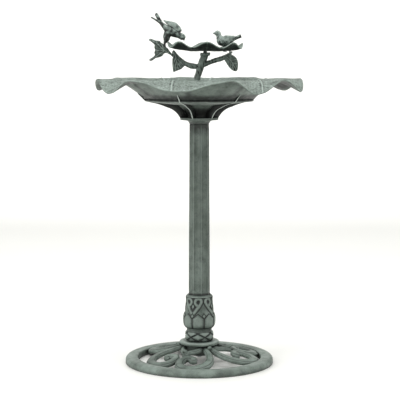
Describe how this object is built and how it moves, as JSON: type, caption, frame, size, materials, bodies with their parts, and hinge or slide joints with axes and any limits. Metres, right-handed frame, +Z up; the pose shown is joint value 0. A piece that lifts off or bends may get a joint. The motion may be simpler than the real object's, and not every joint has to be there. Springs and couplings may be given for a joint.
{
  "type": "bird bath",
  "caption": "Free-standing garden bird bath: openwork scroll base, fluted column, finned cradle and a lift-off leaf-shaped basin with a branch, leaves, a small dish and birds.",
  "frame": {"origin": "on the column's axis, at ground level under the base ring", "axes": "+Z up along the column, -Y is the front, +X to the right seen from the front"},
  "size_m": [0.498, 0.498, 0.848],
  "materials": {
    "verdigris_plastic": "moulded plastic with an antique grey-green wash, dark in the recesses",
    "verdigris_ornament": "moulded resin ornament with the same antique grey-green wash",
    "zinc_steel": "zinc plated steel hardware",
    "seal_rubber": "black rubber sealing washer"
  },
  "bodies": {
    "pedestal": {"scroll_base": "verdigris_plastic", "lotus_sleeve": "verdigris_plastic", "column_shaft": "verdigris_plastic", "bowl_cradle": "verdigris_plastic", "tie_rod": "zinc_steel", "tie_rod_washers": "zinc_steel", "tie_rod_nuts": "zinc_steel"},
    "basin": {"leaf_basin": "verdigris_plastic", "branch_stem": "verdigris_ornament", "left_leaf": "verdigris_ornament", "right_leaf": "verdigris_ornament", "lobed_leaf": "verdigris_ornament", "leaf_dish": "verdigris_ornament", "dish_screws": "zinc_steel", "leaf_bird": "verdigris_ornament", "dish_bird": "verdigris_ornament", "branch_bolt": "zinc_steel", "branch_washer": "zinc_steel", "sealing_washer": "seal_rubber"}
  },
  "joints": [
    {"name": "basin_lift", "type": "slide", "parent": "pedestal", "child": "basin", "axis": [0, 0, 1], "range_m": [0, 0.12]}
  ]
}
